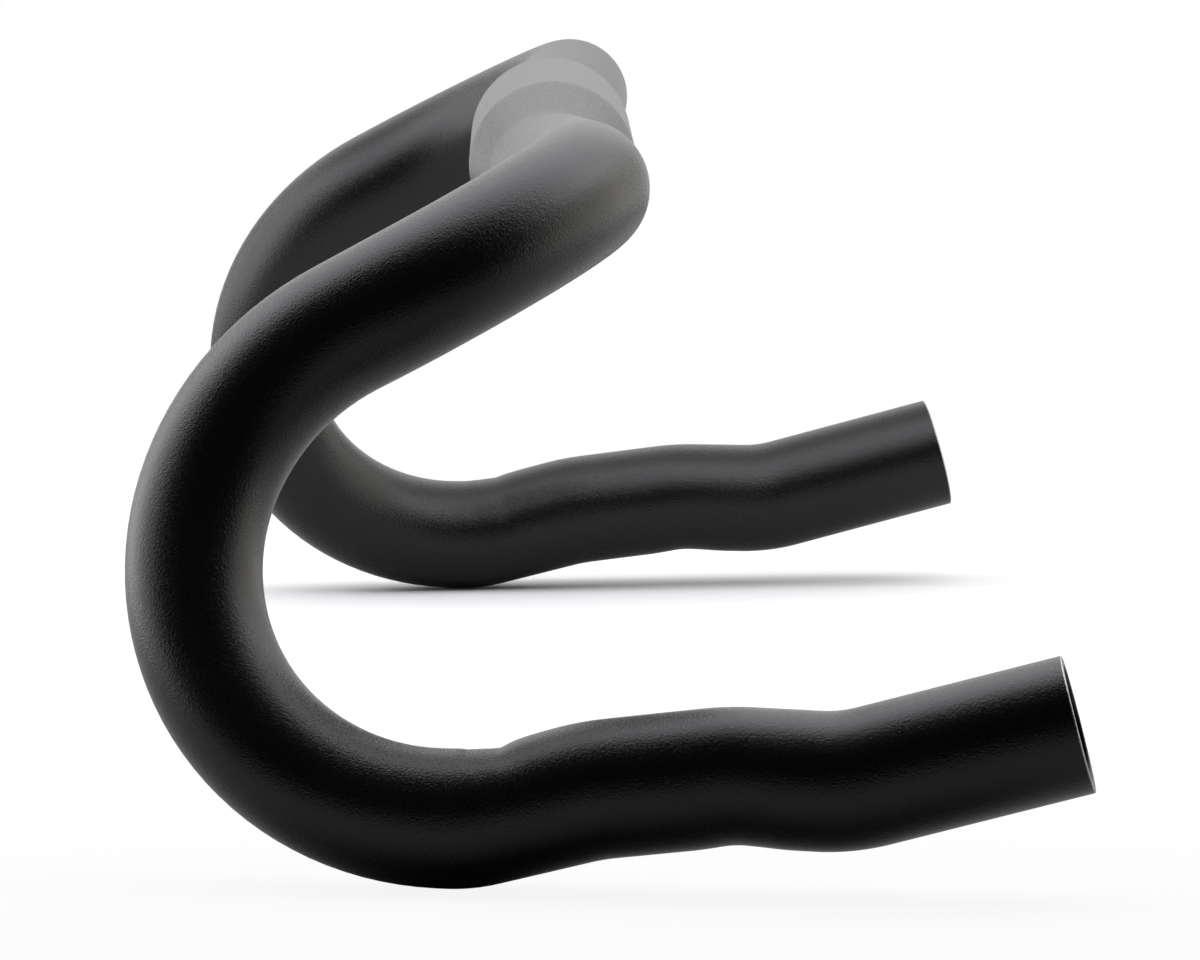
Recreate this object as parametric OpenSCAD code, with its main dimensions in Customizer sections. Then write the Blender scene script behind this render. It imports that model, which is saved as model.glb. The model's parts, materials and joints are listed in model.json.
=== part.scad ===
// Gravel drop handlebar: one bent tube, swollen in the middle for the stem.
// X runs along the clamp from side to side, -Y is the front and +Z is up.
// The origin is the middle of the clamp, on its axis.
// Each half is a bending table, read from the middle out. A row is a straight
// run, a turn of the bend plane about the tube, a bend and its radius.

/* [Tube] */
// Outside diameter of the tube, where the levers clamp
tube_d = 23.8; // [22:0.1:25.4]
// Wall of the tube
tube_wall = 1.6; // [1:0.1:3]
// How much the drawing of the metal in a bend takes off the radius
bend_thinning = 0.05; // [0.03:0.01:0.2]

/* [Clamp] */
// Outside diameter where the stem clamps
clamp_d = 31.8; // [28:0.1:35]
// Width of the round zone that the stem clamps
clamp_w = 100; // [60:1:130]
// Wall of the clamp zone
clamp_wall = 2.2; // [1.5:0.1:4]
// Length of the cone on each side of the clamp zone
taper_l = 33; // [20:1:45]

/* [Tops] */
// Width of the bar, between the middles of the tube where the ramps start
bar_w = 420; // [400:5:480]
// Angle of the tops away from the clamp axis
sweep = 4; // [1:0.5:10]
// Direction of that angle: 0 is straight up, 90 is straight back
sweep_turn = 62; // [0:1:90]
// Centreline radius of the bend that starts the sweep
sweep_radius = 100; // [60:5:200]

/* [Shoulders] */
// Angle of the bend from the top to the ramp
shoulder = 91.4; // [80:0.1:100]
// Turn of the plane of that bend about the top
shoulder_turn = 179.7; // [150:0.1:210]
// Centreline radius of that bend
shoulder_radius = 44; // [35:0.5:60]
// Straight run of the ramp
ramp_l = 4.5; // [2:0.5:30]

/* [Hooks] */
// Angle of the bend from the ramp to the bottom of the hook
hook = 148.5; // [130:0.5:160]
// Turn of the plane of that bend about the ramp, which flares the drops
hook_turn = 115.7; // [90:0.1:130]
// Centreline radius of that bend
hook_radius = 47; // [38:0.5:60]
// Straight run at the bottom of the hook
hook_exit = 2.5; // [2:0.5:20]

/* [Drops] */
// Angle of the tight bend that lifts the drop off the hook
lift = 16; // [5:0.5:25]
// Centreline radius of that bend
lift_radius = 14.5; // [14:0.5:30]
// Straight run up to the crown
lift_l = 17; // [8:0.5:40]
// Angle of the bend that starts the crown
crown = 8; // [4:0.5:15]
// Straight run over the crown
crown_l = 17; // [8:0.5:40]
// Angle of the bend that ends the crown
dip = 9; // [4:0.5:15]
// Centreline radius of both bends of the crown
crown_radius = 44; // [14:0.5:60]
// Straight run down from the crown
dip_l = 11.5; // [8:0.5:40]
// Angle of the last bend, which lifts the end
flick = 18; // [5:0.5:25]
// Centreline radius of the last bend
flick_radius = 30; // [14:0.5:45]
// Straight run of the end
end_l = 35.5; // [20:0.5:90]
// Chamfer on both edges of the mouth
deburr = 0.3; // [0.1:0.1:0.6]

/* [Hidden] */
$fn = 96;

tube_r = tube_d / 2;
clamp_r = clamp_d / 2;
bore_r = tube_r - tube_wall;
clamp_bore_r = clamp_r - clamp_wall;

// A bend runs on this far inside the straight runs on both sides of it
lap = 0.4;
// The bent halves start this far inside the clamp zone
root_l = 10;
// The cut that opens the mouth runs this far past it
clear = 1;

// From the middle to where the sweep starts
middle_l = clamp_w / 2 + taper_l;
// How far to the side the sweep and the shoulder bends carry the tube
sweep_out = sweep_radius * sin(sweep);
shoulder_out = shoulder_radius
    * (sin(shoulder) * cos(sweep) - (1 - cos(shoulder)) * sin(sweep) * cos(shoulder_turn));
top_l = (bar_w / 2 - middle_l - sweep_out - shoulder_out) / cos(sweep);

// Turns of the bend plane: the same side as the last bend, or the other side
SAME = 0;
OTHER = 180;

// Straight run, turn, bend and radius, from the root out to the last bend
BENDS = [
    [middle_l - clamp_w / 2 + root_l, -sweep_turn, sweep, sweep_radius],
    [top_l, shoulder_turn, shoulder, shoulder_radius],
    [ramp_l, hook_turn, hook, hook_radius],
    [hook_exit, SAME, lift, lift_radius],
    [lift_l, OTHER, crown, crown_radius],
    [crown_l, SAME, dip, crown_radius],
    [dip_l, OTHER, flick, flick_radius],
];

// A bend of a rod, from the origin along +Z, curving towards +X.
module bend(angle, radius, rod_r) {
    lap_angle = lap / radius * 180 / PI;
    translate([radius, 0, 0])
        rotate([90, 0, 0])
            rotate([0, 0, 180 - angle - lap_angle])
                rotate_extrude(angle = angle + 2 * lap_angle)
                    translate([radius, 0])
                        circle(r = rod_r - bend_thinning);
}

// Carries its children past one row of the bending table.
module past(row) {
    translate([0, 0, row[0]])
        rotate([0, 0, row[1]])
            translate([row[3] * (1 - cos(row[2])), 0, row[3] * sin(row[2])])
                rotate([0, row[2], 0])
                    children();
}

// A rod bent by the table from row i on, with its end as the children.
module bent_rod(rod_r, i = 0) {
    if (i < len(BENDS)) {
        row = BENDS[i];
        cylinder(r = rod_r, h = row[0]);
        translate([0, 0, row[0]])
            rotate([0, 0, row[1]])
                bend(row[2], row[3], rod_r);
        past(row)
            bent_rod(rod_r, i + 1)
                children();
    } else {
        children();
    }
}

// Both halves of a bent rod, without the clamp zone.
module both_halves(rod_r) {
    for (side = [0, 1])
        mirror([side, 0, 0])
            translate([clamp_w / 2 - root_l, 0, 0])
                rotate([0, 90, 0])
                    rotate([0, 0, 180])
                        bent_rod(rod_r)
                            children();
}

// The swollen middle of a rod: a round zone and a cone down to the tube on
// each side. Each cone dives just under the tube where it ends.
module swell(middle_r, rod_r) {
    slope = (middle_r - rod_r) / taper_l;
    rotate([0, 90, 0])
        cylinder(r = middle_r, h = clamp_w, center = true);
    for (side = [0, 1])
        mirror([side, 0, 0])
            translate([clamp_w / 2, 0, 0])
                rotate([0, 90, 0])
                    cylinder(r1 = middle_r, r2 = rod_r - slope * clear, h = taper_l + clear);
}

module handlebar() {
    color([0.09, 0.09, 0.1])
        difference() {
            union() {
                swell(clamp_r, tube_r);
                both_halves(tube_r) {
                    cylinder(r = tube_r, h = end_l - deburr);
                    translate([0, 0, end_l - deburr])
                        cylinder(r1 = tube_r, r2 = tube_r - deburr, h = deburr);
                }
            }
            union() {
                swell(clamp_bore_r, bore_r);
                both_halves(bore_r) {
                    cylinder(r = bore_r, h = end_l + clear);
                    translate([0, 0, end_l - deburr])
                        cylinder(r1 = bore_r, r2 = bore_r + deburr + clear, h = deburr + clear);
                }
            }
        }
}

handlebar();
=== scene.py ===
# %% [markdown]
# # Gravel drop handlebar
# The real thing is one aluminium tube. It is swollen in the middle where the stem clamps, and bent
# at the shoulders, round the hooks and along the drops. Its ends are cut off square, and a satin
# black coat lies over the blasted metal. So the scene has one piece, a closed skin that goes along
# the outside, over the cut at one mouth, back along the inside and over the other cut. The packed
# solid sets every size and place, and its mounts give the diameters that fit the stem and the plugs.

# %% Load the frame
import json
from math import ceil, cos, pi, radians, sin

import bpy
import numpy as np
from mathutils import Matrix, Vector


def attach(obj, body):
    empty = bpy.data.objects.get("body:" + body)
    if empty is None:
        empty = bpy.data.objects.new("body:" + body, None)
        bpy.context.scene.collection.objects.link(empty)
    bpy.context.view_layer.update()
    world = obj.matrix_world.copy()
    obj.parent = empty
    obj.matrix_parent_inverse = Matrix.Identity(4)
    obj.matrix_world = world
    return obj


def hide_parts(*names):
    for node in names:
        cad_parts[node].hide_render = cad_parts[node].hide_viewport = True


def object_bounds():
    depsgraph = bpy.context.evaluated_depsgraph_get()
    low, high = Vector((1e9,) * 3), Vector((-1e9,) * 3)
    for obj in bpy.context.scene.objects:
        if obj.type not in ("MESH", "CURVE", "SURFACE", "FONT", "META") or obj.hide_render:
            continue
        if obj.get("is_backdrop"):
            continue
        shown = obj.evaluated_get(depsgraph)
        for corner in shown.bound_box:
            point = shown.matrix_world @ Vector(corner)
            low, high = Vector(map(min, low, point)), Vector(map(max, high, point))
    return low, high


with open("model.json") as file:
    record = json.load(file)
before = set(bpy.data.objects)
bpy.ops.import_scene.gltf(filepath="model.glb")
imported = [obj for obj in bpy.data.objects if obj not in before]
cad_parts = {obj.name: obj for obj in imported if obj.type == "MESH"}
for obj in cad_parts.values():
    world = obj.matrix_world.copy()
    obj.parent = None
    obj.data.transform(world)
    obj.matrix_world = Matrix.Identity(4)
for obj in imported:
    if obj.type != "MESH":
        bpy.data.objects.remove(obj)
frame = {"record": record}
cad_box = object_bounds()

MM = 0.001
mounts = {mount["name"]: mount for mount in frame["record"]["mounts"]}
print("solid box in mm:", [[round(v / MM, 1) for v in corner] for corner in cad_box])

# %% [markdown]
# ## The bending table
# A tube bender works from a table: feed the tube straight, turn it, bend it, and so on. Drawing
# the centreline by hand as a curve would need many points and still have no true arcs. The table
# gives each half of the bar as straight runs and circular bends, in millimetres and degrees, from
# the middle of the clamp out to the mouth. The other half is its mirror image.

# %% Sizes of the tube
CLAMP_R = mounts["stem_clamp"]["dims"]["r_mm"]
CLAMP_HALF = mounts["stem_clamp"]["dims"]["length_mm"] / 2
BORE_R = mounts["left_end"]["dims"]["r_mm"]
WALL = 1.6
CLAMP_WALL = 2.2
TAPER = 33.0
TUBE_R = BORE_R + WALL
HALF_WIDTH = 210.0
print("tube", round(2 * TUBE_R, 1), "mm across and clamp zone", round(2 * CLAMP_R, 1), "mm")

# %% The bending table
# Each bend: a turn of its plane about the tube, its angle and its centreline radius. The lift bend
# is rounder than the 14.5 mm of the solid. The inside of a tight bend squeezes the rings of the
# mesh together, and the dent that lies there would fold them.
SWEEP = (-62.0, 4.0, 100.0)
SHOULDER = (179.7, 91.4, 44.0)
HOOK = (115.7, 148.5, 47.0)
LIFT = (0.0, 16.0, 22.0)
CROWN = (180.0, 8.0, 44.0)
DIP = (0.0, 9.0, 44.0)
FLICK = (180.0, 18.0, 30.0)
# Each straight run. The rounder lift bend takes 1.05 mm from the runs on both sides of it.
RAMP_RUN = 4.5
HOOK_EXIT_RUN = 1.45
LIFT_RUN = 15.95
CROWN_RUN = 17.0
DIP_RUN = 11.5
END_RUN = 35.5


def top_length():
    """Straight run of the top: what is left of half the width, less what the bends cover."""
    turn, shoulder, radius = (radians(SHOULDER[0]), radians(SHOULDER[1]), SHOULDER[2])
    sweep = radians(SWEEP[1])
    by_shoulder = radius * (sin(shoulder) * cos(sweep) - (1 - cos(shoulder)) * sin(sweep) * cos(turn))
    by_sweep = SWEEP[2] * sin(sweep)
    return (HALF_WIDTH - CLAMP_HALF - TAPER - by_sweep - by_shoulder) / cos(sweep)


# Each row is a straight run and the bend after it
ROWS = [
    (CLAMP_HALF + TAPER, *SWEEP),
    (top_length(), *SHOULDER),
    (RAMP_RUN, *HOOK),
    (HOOK_EXIT_RUN, *LIFT),
    (LIFT_RUN, *CROWN),
    (CROWN_RUN, *DIP),
    (DIP_RUN, *FLICK),
]
NO_BEND = (0.0, 0.0, 1.0)
print("top run", round(top_length(), 2), "mm")

# %% [markdown]
# ## The spine
# Each row becomes two sections of constant curvature, and a straight run is only a section whose
# curvature is zero. One formula then serves them all: after a distance u along a section of
# curvature k the tube has turned by the angle k u. The ring of the tube is carried along with no
# twist, so lines of the mesh run straight down the tube, and only the direction of each bend is
# turned about it.


# %% The spine of one half, and of the whole bar
def carry(section, u):
    """Centre, two ring directions and tube direction, a distance u into a section.

    With a = k u, the centre has moved forward by sin(a)/k and inward by (1 - cos a)/k. Both are
    written with sinc, which has no trouble at k = 0: u sinc(a) and u sin(a/2) sinc(a/2)."""
    start, n, b, t, psi, k = (section[key] for key in ("start", "n", "b", "t", "psi", "k"))
    inward = cos(psi) * n + sin(psi) * b
    across = cos(psi) * b - sin(psi) * n
    a = (k * u)[:, None]
    u = u[:, None]
    centre = start + t * u * np.sinc(a / pi) + inward * u * np.sin(a / 2) * np.sinc(a / 2 / pi)
    turned = inward * np.cos(a) - t * np.sin(a)
    along = t * np.cos(a) + inward * np.sin(a)
    return (
        centre,
        turned * cos(psi) - across * sin(psi),
        turned * sin(psi) + across * cos(psi),
        along,
    )


def make_sections():
    """The sections of one half, from the middle of the clamp, starting along +X with +Z up."""
    n, b, t = np.array([[0, 0, 1.0], [0, -1.0, 0], [1.0, 0, 0]])
    here = dict(start=np.zeros(3), n=n, b=b, t=t)
    made = []
    s = psi = 0.0
    for run, turn, bend, radius in [*ROWS, (END_RUN, *NO_BEND)]:
        for length, k in ((run, 0.0), (radius * radians(bend), 1 / radius)):
            if k:
                psi += radians(turn)
            if length:
                section = dict(here, s=s, length=length, k=k, psi=psi)
                made.append(section)
                start, n, b, t = (v[0] for v in carry(section, np.array([length])))
                here = dict(start=start, n=n, b=b, t=t)
                s += length
    return made, s


SECTIONS, HALF_LENGTH = make_sections()
BEND_NAMES = ("sweep", "shoulder", "hook", "lift", "crown", "dip", "flick")
BENDS = dict(zip(BEND_NAMES, (section for section in SECTIONS if section["k"])))


def spine(s):
    """Centre and two ring directions at signed distances s from the middle of the clamp."""
    out = np.zeros((3, len(s), 3))
    far = np.abs(s)
    starts = np.array([section["s"] for section in SECTIONS])
    owner = np.clip(np.searchsorted(starts, far, side="right") - 1, 0, len(SECTIONS) - 1)
    for i in np.unique(owner):
        mine = owner == i
        centre, n, b, _ = carry(SECTIONS[i], far[mine] - SECTIONS[i]["s"])
        out[:, mine] = centre, n, b
    out[:, s < 0, 0] *= -1
    return out


print("one half is", round(HALF_LENGTH, 1), "mm of tube in", len(SECTIONS), "sections")

# %% [markdown]
# ## The round radius
# Along the tube the radius is level over the clamp zone, falls in a straight line and is level
# again. A lofted surface would round that off too far, and two plain cylinders and a cone would
# meet in sharp corners that shine as hard lines. So the profile is a formula, in which both
# corners are rounded over about four millimetres, as they are on a pressed tube.

# %% How the radius changes along the tube
SOFT = 0.9


def soft_ramp(x, width=SOFT):
    """Zero below 0 and x above it, with the corner rounded: width times log(1 + exp(x / width))."""
    return width * np.logaddexp(0, x / width)


def round_radius(s, clamp_r, tube_r):
    """Radius of the round tube: level over the clamp, down the taper in a line, then level again."""
    slope = (clamp_r - tube_r) / TAPER
    far = np.abs(s) - CLAMP_HALF
    return clamp_r - slope * (soft_ramp(far) - soft_ramp(far - TAPER))


half_down = CLAMP_HALF + TAPER / 2
print("radius halfway down the taper", round(float(round_radius(half_down, CLAMP_R, TUBE_R)), 2), "mm")

# %% [markdown]
# ## Out of round
# A bent tube is never quite circular. A long bend is a little flat in its own plane. In the tight
# bend behind the hook the inside wall has nowhere to go: it runs straight on past the bend, then
# springs back, and leaves a dent. Sculpting that by hand would leave lumps, so both slopes are
# formulas and the dent is the smaller of the two. The two sides of the bar in the photo aren't
# quite alike, so each has a dent of its own.

# %% How the bends press the tube out of round
# The long bends: how flat, as a share of the radius, and how softly that fades in and out
OVAL = 0.008
OVAL_FADE = 3.0
# Each side's dent: how far past the middle of the lift bend it starts and is deepest, and its
# depth before its deepest line is rounded
DENTS = {1: (0.7, 8.8, 1.75), -1: (2.0, 7.0, 0.8)}
# Past its deepest line a dent springs back to half its depth over this length
SPRING = 2.5
# The flat inside the dip bend: how far past its middle it lies, half its length and its depth
FLAT = (2.0, 10.0, 0.4)
# How narrow each slope is round the tube, as powers of the bell: into the dent, out of it, the flat
INTO, OUT_OF, OVER_FLAT = 3, 1.5, 1.6


def soft_min(a, b, power=6, least=1e-6):
    """The smaller of two positive numbers, with the corner rounded: (a^-p + b^-p)^(-1/p)."""
    return (np.maximum(a, least) ** -power + np.maximum(b, least) ** -power) ** (-1 / power)


def past_middle(name, s):
    """How far past the middle of a bend the distances s lie, on either half."""
    return np.abs(s) - BENDS[name]["s"] - BENDS[name]["length"] / 2


def bell(name, theta):
    """1 at the inside of a bend and 0 at its outside: half of one plus the cosine of the angle."""
    return 0.5 + 0.5 * np.cos(theta - BENDS[name]["psi"])


def dent(s, theta, start, deepest, depth):
    """Depth times the smaller of two slopes: a ramp down from the round tube, and the wall that
    springs back, which is 1 at the deepest line and falls as one over the distance past it."""
    past = past_middle("lift", s)
    ramp = soft_ramp(past - start) / (deepest - start)
    back = (past - deepest) / SPRING
    wall = np.where(back > 0, 1 / (1 + np.abs(back)), 1 - back)
    return depth * soft_min(ramp * bell("lift", theta) ** INTO, wall * bell("lift", theta) ** OUT_OF)


def out_of_round(s, theta):
    """What the bends add to the radius, at distances s and ring angles theta.

    Over a long bend it is a cosine of twice the angle from the bend's plane, faded in and out by
    1 / (1 + exp(-x)). On each side comes its dent, and at the dip a wave of cosine squared."""
    change = np.zeros(np.broadcast(s, theta).shape)
    for name in ("shoulder", "hook"):
        within = BENDS[name]["length"] / 2 - np.abs(past_middle(name, s))
        fade = 1 / (1 + np.exp(-within / OVAL_FADE))
        change = change - OVAL * TUBE_R * fade * np.cos(2 * (theta - BENDS[name]["psi"]))
    for side, sizes in DENTS.items():
        change = change - (np.sign(s) == side) * dent(s, theta, *sizes)
    past, half_length, depth = FLAT
    wave = np.cos(pi / 2 * np.clip((past_middle("dip", s) - past) / half_length, -1, 1)) ** 2
    return change - depth * wave * bell("dip", theta) ** OVER_FLAT


for side, sizes in DENTS.items():
    line = side * (BENDS["lift"]["s"] + BENDS["lift"]["length"] / 2 + sizes[1])
    pressed_in = -float(out_of_round(line, BENDS["lift"]["psi"]))
    print("side", side, "is pressed in by", round(pressed_in, 2), "mm")

# %% [markdown]
# ## The skin
# Two parameters give every point. One is the way round the ring. The other is the way along the
# closed profile: outside from mouth to mouth, over the rounded cut, back inside, and over the
# other cut. Both close on themselves, so the mesh has no seam, no pole and no open edge.

# %% Stations along the closed profile
# Distances between rings, and the number of points in a ring
COARSE = 2.6
FINE = 0.8
AROUND = 96
# Rings over each crease of the clamp zone: how far they reach on both sides of it, and how many
CREASE_REACH = 3
CREASE_RINGS = 9
# Rounding of the two edges of a mouth, and the points in each
EDGE = 0.3
EDGE_POINTS = 6
# The share of the wall, from the outside in, over which the coat is worn off the cut, and the
# share of the rounding that counts as cut
WORN = 0.7
CUT_SHARE = 0.8


def stations():
    """Distances from the middle to the mouth where one half has a ring, closer past the hook."""
    marks = []
    for section in SECTIONS:
        step = FINE if section["s"] > BENDS["hook"]["s"] else COARSE
        count = ceil(section["length"] / step)
        marks.append(section["s"] + section["length"] * np.arange(count) / count)
    reach = np.linspace(-CREASE_REACH, CREASE_REACH, CREASE_RINGS)
    marks += [CLAMP_HALF + reach, CLAMP_HALF + TAPER + reach]
    marks = np.unique(np.concatenate(marks).round(4))
    return marks[marks < HALF_LENGTH - 2 * EDGE]


def mouth_profile():
    """Distance and radius over the cut of the mouth: a quarter round, the flat cut, a quarter round.

    A ring just behind each quarter round and one just inside it keep their corners crisp."""
    behind, within = 0.5 * EDGE, 0.05
    turn = np.linspace(0, pi / 2, EDGE_POINTS)
    support = np.array([[HALF_LENGTH - EDGE - behind, TUBE_R]])
    outer = np.stack([HALF_LENGTH - EDGE + EDGE * np.sin(turn), TUBE_R - EDGE + EDGE * np.cos(turn)], 1)
    cut_r = np.linspace(TUBE_R - EDGE - within, BORE_R + EDGE + within, 3)
    flat = np.stack([np.full(3, HALF_LENGTH), cut_r], 1)
    inner = outer[::-1] * [1, -1] + [0, TUBE_R + BORE_R]
    return np.concatenate([support, outer, flat, inner, [[HALF_LENGTH - EDGE - behind, BORE_R]]])


def closed_profile():
    """Signed distance, radius of the round tube, and how bare the metal is, from 0 to 1.

    The inside needs only one ring in three. The metal is bare at the outer edge of each cut, and
    the coat comes back in a line towards the bore."""
    marks = stations()
    outside = np.concatenate([-marks[:0:-1], marks])
    inside = outside[::-3]
    mouth = mouth_profile()
    worn = np.clip((mouth[:, 1] - TUBE_R) / (WORN * WALL) + 1, 0, 1)
    on_cut = mouth[:, 0] > HALF_LENGTH - CUT_SHARE * EDGE
    bare = worn * on_cut
    parts = [
        (outside, round_radius(outside, CLAMP_R, TUBE_R), np.zeros(len(outside))),
        (mouth[:, 0], mouth[:, 1], bare),
        (inside, round_radius(inside, CLAMP_R - CLAMP_WALL, BORE_R), np.zeros(len(inside))),
        (-mouth[::-1, 0], mouth[::-1, 1], bare[::-1]),
    ]
    return [np.concatenate(column).astype(float) for column in zip(*parts)]


s, radius, bare = closed_profile()
print(len(s), "rings of", AROUND, "points")


# %% Points and faces of the skin
def tube_points(s, radius, theta):
    """Centre of the ring plus the radius along its direction: n cos(theta) + b sin(theta)."""
    centre, n, b = (v[:, None, :] for v in spine(s))
    angle = theta[None, :, None]
    r = (radius[:, None] + out_of_round(s[:, None], theta[None, :]))[..., None]
    return centre + r * (np.cos(angle) * n + np.sin(angle) * b)


def closed_faces(rows, columns):
    """Quads of a grid that closes on itself both ways, facing outwards."""
    i, j = np.meshgrid(np.arange(rows), np.arange(columns), indexing="ij")
    i2, j2 = (i + 1) % rows, (j + 1) % columns
    corners = [(i, j), (i, j2), (i2, j2), (i2, j)]
    return np.stack([a * columns + b for a, b in corners], -1).reshape(-1, 4)


def make_mesh(name, points, faces, marks):
    """A mesh in metres from points in millimetres, with one value a vertex for each named mark."""
    mesh = bpy.data.meshes.new(name)
    mesh.vertices.add(len(points))
    mesh.vertices.foreach_set("co", (points * MM).astype(np.float32).ravel())
    mesh.loops.add(faces.size)
    mesh.loops.foreach_set("vertex_index", faces.astype(np.int32).ravel())
    mesh.polygons.add(len(faces))
    mesh.polygons.foreach_set("loop_start", np.arange(0, faces.size, 4, dtype=np.int32))
    for mark, values in marks.items():
        mesh.attributes.new(mark, "FLOAT", "POINT").data.foreach_set("value", values.astype(np.float32))
    mesh.update(calc_edges=True)
    mesh.validate()
    mesh.shade_smooth()
    return mesh


def signed_volume(points, faces):
    """Sixth of the sum of corner . (corner x corner) over the triangles: positive if it faces out."""
    a, b, c, d = (points[faces[:, i]] for i in range(4))
    return ((a * np.cross(b, c)).sum() + (a * np.cross(c, d)).sum()) / 6


theta = np.linspace(0, 2 * pi, AROUND, endpoint=False)
points = tube_points(s, radius, theta).reshape(-1, 3)
faces = closed_faces(len(s), AROUND)
print(len(faces) * 2, "triangles, volume", round(signed_volume(points, faces)), "cubic mm")

skin = make_mesh("bent_tube", points, faces, {"bare": np.repeat(bare, AROUND)})
bar = bpy.data.objects.new("bent_tube", skin)
bpy.context.scene.collection.objects.link(bar)

# %% [markdown]
# ## Shader maths
# A node tree is easier to read as an expression. This class wraps a socket, so that a plus sign
# between two of them adds a Math node, and one method adds any other node by its type.


# %% A socket that does arithmetic
class Wire:
    """A socket of a node tree, or a number, that can be added, multiplied and fed to nodes."""

    def __init__(self, tree, socket):
        self.tree = tree
        self.socket = socket

    def node(self, kind, *inputs, output=0, settings=None, **named):
        """Adds a node: its settings first, then its inputs by order, then its inputs by name."""
        node = self.tree.nodes.new(kind)
        for key, value in (settings or {}).items():
            setattr(node, key, value)
        pairs = [(node.inputs[i], value) for i, value in enumerate(inputs)]
        pairs += [(node.inputs[key], value) for key, value in named.items()]
        for target, value in pairs:
            if isinstance(value, Wire):
                self.tree.links.new(value.socket, target)
            elif value is not None:
                target.default_value = value
        return Wire(self.tree, node.outputs[output] if node.outputs else None)

    def math(self, operation, *values):
        return self.node("ShaderNodeMath", *values, settings={"operation": operation})

    def __add__(self, other):
        return self.math("ADD", self, other)

    def __sub__(self, other):
        return self.math("SUBTRACT", self, other)

    def __rsub__(self, other):
        return self.math("SUBTRACT", other, self)

    def __mul__(self, other):
        return self.math("MULTIPLY", self, other)

    __radd__ = __add__
    __rmul__ = __mul__

    def ramp(self, low, high):
        """0 below low, 1 above high and smooth between."""
        return self.node(
            "ShaderNodeMapRange",
            self,
            settings={"interpolation_type": "SMOOTHSTEP"},
            **{"From Min": low, "From Max": high},
        )

    def mix(self, low, high):
        """A colour between low and high, by this value."""
        first, second = 6, 7
        mixed = self.node("ShaderNodeMix", self, settings={"data_type": "RGBA"}, output=2)
        for slot, colour in ((first, low), (second, high)):
            target = mixed.socket.node.inputs[slot]
            if isinstance(colour, Wire):
                self.tree.links.new(colour.socket, target)
            else:
                target.default_value = (*colour, 1)
        return mixed


def new_material(name):
    """An empty material and a wire to start expressions from."""
    material = bpy.data.materials.new(name)
    material.use_nodes = True
    material.node_tree.nodes.clear()
    return material, Wire(material.node_tree, None)


# %% [markdown]
# ## The finish
# The coat is a satin black laid over blasted metal. From a step away it is plain, but where a
# highlight ends its fine grains catch the light one by one. Roughness alone would smear them into a
# smooth glow, so the grain is a real bump at its real size, about a third of a millimetre. A cloud
# of a few centimetres keeps the black from being dead even. At the outer edge of each cut the coat
# is rubbed through to the bare metal, which shows as a thin bright line round the mouth.

# %% Blasted black coat and the bare edge of the cut
# Sizes of the grain, of the slow swell under it and of the clouds in the colour, in millimetres
GRAIN = 0.36
SWELL = 1.3
CLOUD = 28.0
# Depth of the grain in millimetres, and the share of the swell in its height
GRAIN_DEPTH = 0.1
SWELL_SHARE = 0.2
# Roughness of the coat, and how far the clouds and the grain change it
ROUGH = 0.265
CLOUD_ROUGH = 0.04
GRAIN_ROUGH = 0.06
# Colours of the coat where it is deepest and most faded, and of the bare metal
DEEP = (0.0035, 0.0035, 0.004)
FADED = (0.005, 0.005, 0.0055)
BARE_METAL = (0.45, 0.45, 0.44)
GLOSS_IOR = 1.5


def coat_material():
    """Black coat by a cloud between two blacks, and metal by the mark of the bare edge."""
    material, wire = new_material("blasted_black")
    place = wire.node("ShaderNodeTexCoord", output=3)

    def noise(size_mm, detail, roughness=0.5):
        """Noise from 0 to 1 whose lumps are about this size."""
        scale = 1 / (size_mm * MM)
        named = {"Vector": place, "Scale": scale, "Detail": detail, "Roughness": roughness}
        return wire.node("ShaderNodeTexNoise", **named)

    metal = wire.node("ShaderNodeAttribute", settings={"attribute_name": "bare"}, output=2)
    cloud = noise(CLOUD, 3.0)
    grain = noise(GRAIN, 2.0, 0.55)
    height = grain + SWELL_SHARE * noise(SWELL, 1.0)
    bump = wire.node("ShaderNodeBump", Strength=1.0, Distance=GRAIN_DEPTH * MM, Height=height)
    coat = cloud.ramp(0.35, 0.65).mix(DEEP, FADED)
    base = metal.mix(coat, BARE_METAL)
    rough = ROUGH + CLOUD_ROUGH * (cloud - 0.5) + GRAIN_ROUGH * (grain - 0.5)
    shader = wire.node(
        "ShaderNodeBsdfPrincipled",
        **{"Base Color": base, "Roughness": rough, "Metallic": metal, "Normal": bump, "IOR": GLOSS_IOR},
    )
    wire.node("ShaderNodeOutputMaterial", shader)
    return material


bar.data.materials.append(coat_material())
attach(bar, "root")
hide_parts("handlebar")
print("coat of", len(bar.data.materials[0].node_tree.nodes), "nodes")

# %% [markdown]
# ## The studio
# The bar stands on a pale floor in a small tent of soft light: a bright box over it and one on
# its left in the picture, dimmer lamps behind it and on its right, and nothing on the camera's
# side. That is what draws a black tube. The boxes light its upper edge, the cards its outlines,
# and the open side leaves its middle black. The level is plain: a white card lying on the floor
# would come out just about white.

# %% Floor
FLOOR_Z = cad_box[0].z
FLOOR_GREY = 0.45
FLOOR_WHITE = 0.9
# Distances from the middle, in metres, between which the floor's paint gives way to its white glow
LIT_REACH = (0.3, 0.6)
# The same towards the camera, where this share of the paint gives way to a painted glow
# that washes out most of the bar's shadow there
PAINTED_GLOW_FRONT_REACH = (-0.1, 0.2)
PAINTED_GLOW_FRONT_SHARE = 0.9


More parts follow.
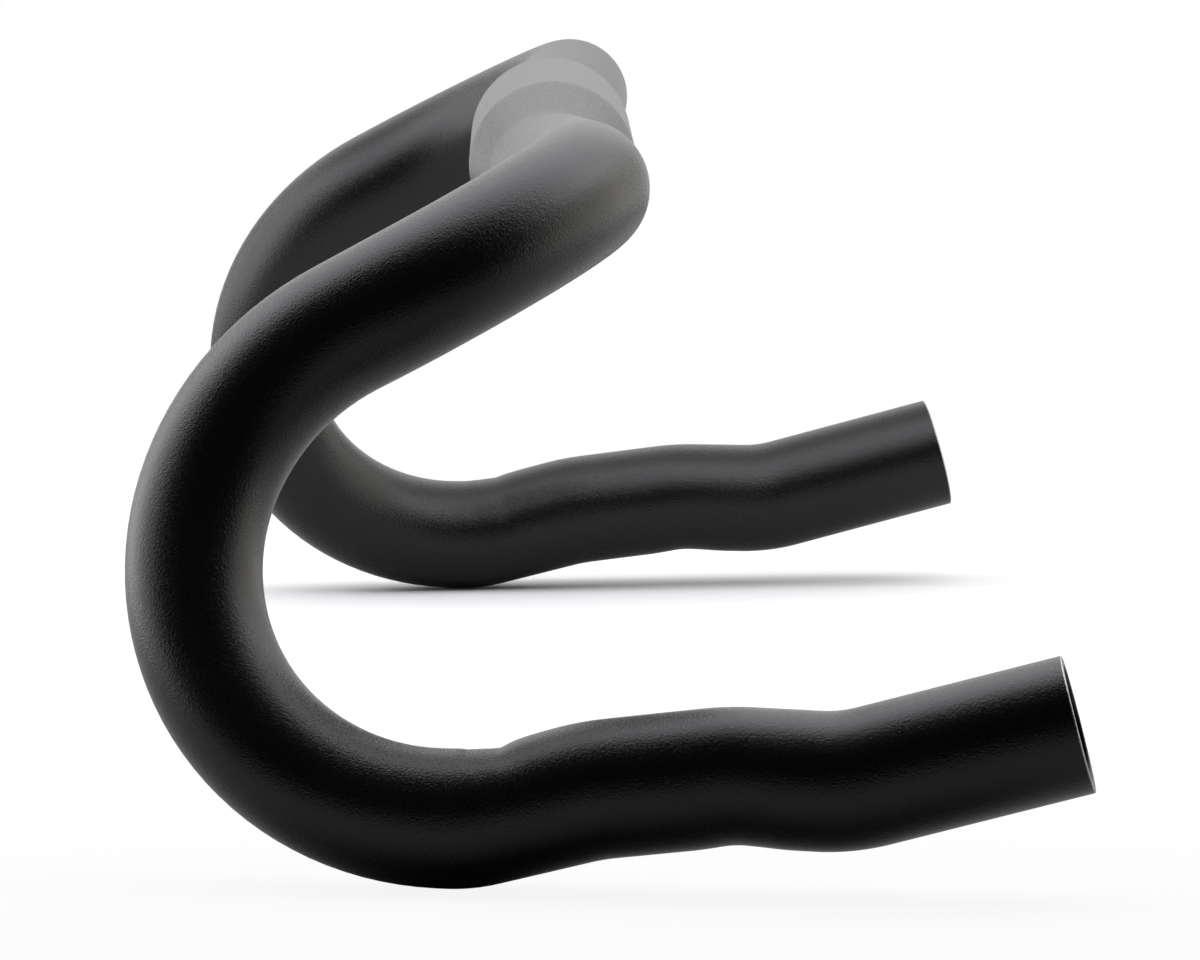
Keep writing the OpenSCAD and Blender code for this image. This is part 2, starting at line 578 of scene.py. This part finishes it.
def floor_material():
    """Grey paint for the light that bounces off it. To the eye it is white paint, which keeps the
    shadow, and far from the bar, where the lamps don't reach, it glows white by itself. Towards the
    camera most of the paint gives way to that glow, a painted light that washes out the bar's shadow on
    that side."""
    material, wire = new_material("studio_floor")
    seen = wire.node("ShaderNodeLightPath")
    place = wire.node("ShaderNodeTexCoord", output=3)
    away = wire.node("ShaderNodeVectorMath", place, output=1, settings={"operation": "LENGTH"})
    front = wire.node("ShaderNodeSeparateXYZ", place)
    white = wire.node("ShaderNodeEmission", Color=(1, 1, 1, 1), Strength=1.0)
    paint = wire.node("ShaderNodeBsdfDiffuse", Color=(FLOOR_WHITE, FLOOR_WHITE, FLOOR_WHITE, 1))
    grey = wire.node("ShaderNodeBsdfDiffuse", Color=(FLOOR_GREY, FLOOR_GREY, FLOOR_GREY, 1))
    # Towards the camera the white glow is painted light that hides most of the bar's shadow
    shade = (1 - away.ramp(*LIT_REACH)) * (1 - PAINTED_GLOW_FRONT_SHARE * front.ramp(*PAINTED_GLOW_FRONT_REACH))
    shown = wire.node("ShaderNodeMixShader", shade, white, paint)
    mixed = wire.node("ShaderNodeMixShader", seen, grey, shown)
    wire.node("ShaderNodeOutputMaterial", mixed)
    return material


def make_floor(half_size=12.0):
    """A square under the bar, in metres, that reaches past the edge of the view."""
    corners = np.array([[-1, -1], [1, -1], [1, 1], [-1, 1]]) * half_size
    mesh = bpy.data.meshes.new("studio_floor")
    mesh.from_pydata([(x, y, FLOOR_Z) for x, y in corners], [], [(0, 1, 2, 3)])
    mesh.materials.append(floor_material())
    floor = bpy.data.objects.new("studio_floor", mesh)
    bpy.context.scene.collection.objects.link(floor)
    floor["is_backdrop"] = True


make_floor()
print("floor", round(-FLOOR_Z / MM, 1), "mm under the middle of the clamp")

# %% Room and lamps
ROOM = 0.015
DOWN, RIGHT, LEFT, FRONT = (0, 0, -1), (0, 1, 0), (0, -1, 0), (1, 0, 0)
COOL, PLAIN, WARM = (0.96, 0.96, 1.0), (1.0, 1.0, 1.0), (1.0, 0.98, 0.93)
# Each lamp: its middle, the way it faces, its length and height, its radiance and its tint
LAMPS = {
    "overhead_box": ((0.0, 0, 0.35), DOWN, (0.5, 1.0), 2.3, COOL),
    "rear_box": ((-0.6, 0, 0.35), DOWN, (0.7, 1.0), 0.8, PLAIN),
    "left_near_card": ((0.15, -0.6, 0.2), RIGHT, (0.3, 0.62), 1.4, PLAIN),
    "left_box": ((-0.15, -0.6, 0.2), RIGHT, (0.3, 0.62), 3.0, COOL),
    "left_far_card": ((-0.6, -0.6, 0.2), RIGHT, (0.6, 0.62), 1.7, PLAIN),
    "right_card": ((-0.3, 0.6, 0.2), LEFT, (1.2, 0.62), 1.2, WARM),
    "back_card": ((-1.2, 0, 0.3), FRONT, (1.2, 0.82), 0.9, PLAIN),
}


def make_room():
    """White to the eye, and nearly black to the bar, so that only the lamps light it."""
    world = bpy.data.worlds.new("studio")
    bpy.context.scene.world = world
    world.use_nodes = True
    world.node_tree.nodes.clear()
    wire = Wire(world.node_tree, None)
    seen = wire.node("ShaderNodeLightPath")
    shader = wire.node("ShaderNodeBackground", Color=(1, 1, 1, 1), Strength=seen * (1 - ROOM) + ROOM)
    wire.node("ShaderNodeOutputWorld", shader)


def soft_box(name, centre, way, size, radiance, tint):
    """A rectangular lamp that the camera doesn't see.

    A power P over an area A gives the radiance P / (pi A)."""
    lamp = bpy.data.lights.new(name, "AREA")
    lamp.shape = "RECTANGLE"
    lamp.size, lamp.size_y = size
    lamp.energy = radiance * pi * size[0] * size[1]
    lamp.color = tint
    lamp_object = bpy.data.objects.new(name, lamp)
    lamp_object.location = centre
    lamp_object.rotation_euler = Vector(way).to_track_quat("-Z", "Y").to_euler()
    lamp_object.visible_camera = False
    bpy.context.scene.collection.objects.link(lamp_object)


make_room()
for name, lamp in LAMPS.items():
    soft_box(name, *lamp)
print(len(LAMPS), "lamps")

# %% [markdown]
# ## The camera
# The photo was taken from beyond the left end of the bar, 1.80 m from its middle and 10 cm above
# it. That is almost along the clamp, so the two hooks lie nearly behind each other, and the near
# one looks about a quarter larger.

# %% Camera
EYE = (1.8004, -0.0073, 0.099)
PITCH = 5.185
YAW = 0.531
LENS = 277.7


def make_camera():
    """Looks along -X, turned by the yaw and down by the pitch, both in degrees."""
    lens = bpy.data.cameras.new("camera")
    lens.lens = LENS
    camera = bpy.data.objects.new("camera", lens)
    camera.location = EYE
    yaw, pitch = radians(YAW), radians(PITCH)
    ahead = Vector((-cos(pitch) * cos(yaw), cos(pitch) * sin(yaw), -sin(pitch)))
    camera.rotation_euler = ahead.to_track_quat("-Z", "Y").to_euler()
    bpy.context.scene.collection.objects.link(camera)
    bpy.context.scene.camera = camera


make_camera()
bpy.context.scene.view_settings.view_transform = "Standard"
print("camera", round(EYE[0], 2), "m to the left of the clamp's middle")

# %% The made box beside the solid's, and finish
made_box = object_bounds()
print("made box in mm:", [[round(v / MM, 1) for v in corner] for corner in made_box])
sizes = {"cad": [list(corner) for corner in cad_box], "made": [list(corner) for corner in made_box]}
